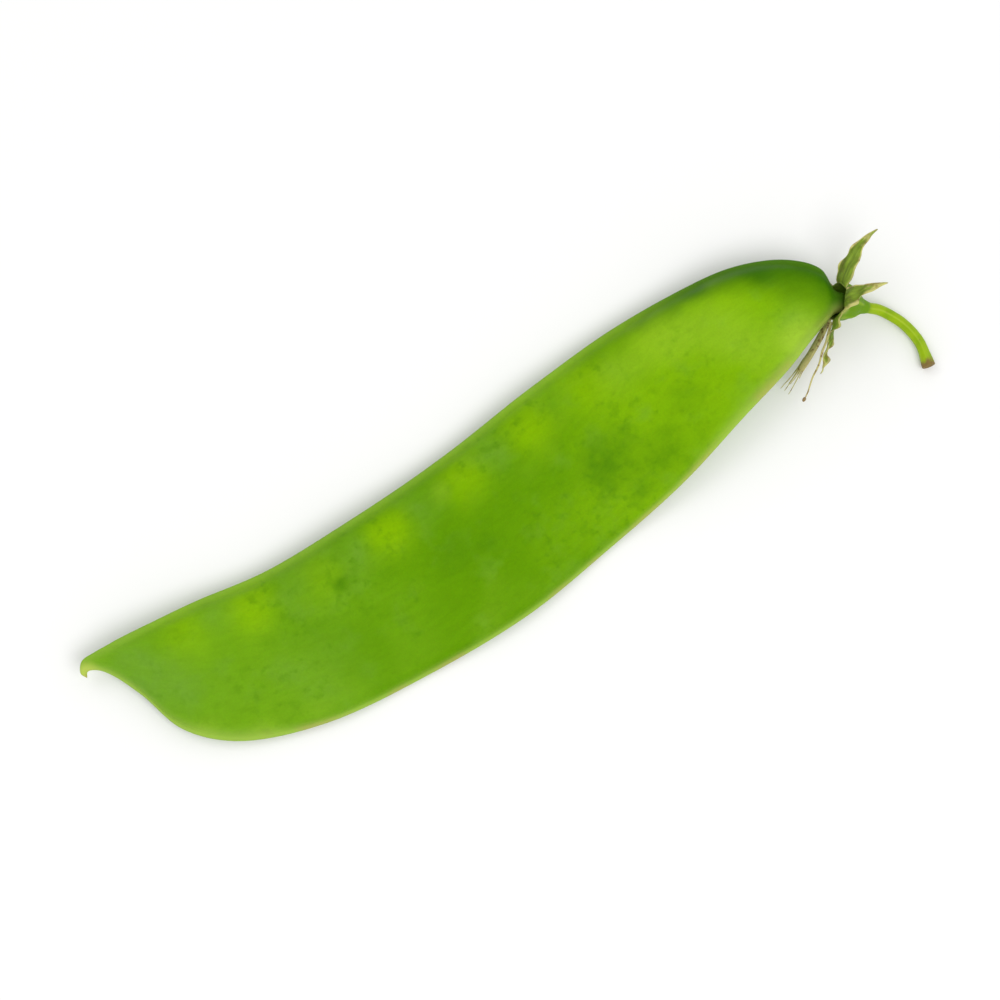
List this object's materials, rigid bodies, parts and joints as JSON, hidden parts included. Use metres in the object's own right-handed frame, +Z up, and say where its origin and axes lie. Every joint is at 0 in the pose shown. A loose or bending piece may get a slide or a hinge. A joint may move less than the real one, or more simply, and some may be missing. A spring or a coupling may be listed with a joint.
{
  "type": "snow pea pod",
  "caption": "Flat green snow pea pod with a beaked tip, calyx and short stalk, lying on its side.",
  "frame": {"origin": "centre of the bounding box, on the surface that the pod lies on", "axes": "+X from the beaked tip to the stalk end, +Y to the ventral side that the peas sit along, +Z up"},
  "size_m": [0.1032, 0.027, 0.0105],
  "materials": {
    "pod_skin": "fresh green pod wall, waxy satin",
    "calyx_green": "green calyx tube, matt and ribbed",
    "sepal_dry": "half-dried sepal, papery, tan at the edges",
    "stamen_dry": "dried brown flower remains, papery",
    "stalk_skin": "fresh stalk, satin, dry brown cut"
  },
  "bodies": {
    "root": {"pod": "pod_skin", "calyx_cup": "calyx_green", "sepal_dorsal_upper": "sepal_dry", "sepal_dorsal_lower": "sepal_dry", "sepal_top": "sepal_dry", "sepal_ventral": "sepal_dry", "sepal_underside": "sepal_dry", "stamen_sheath": "stamen_dry", "free_stamen": "stamen_dry", "stalk": "stalk_skin"}
  },
  "joints": []
}
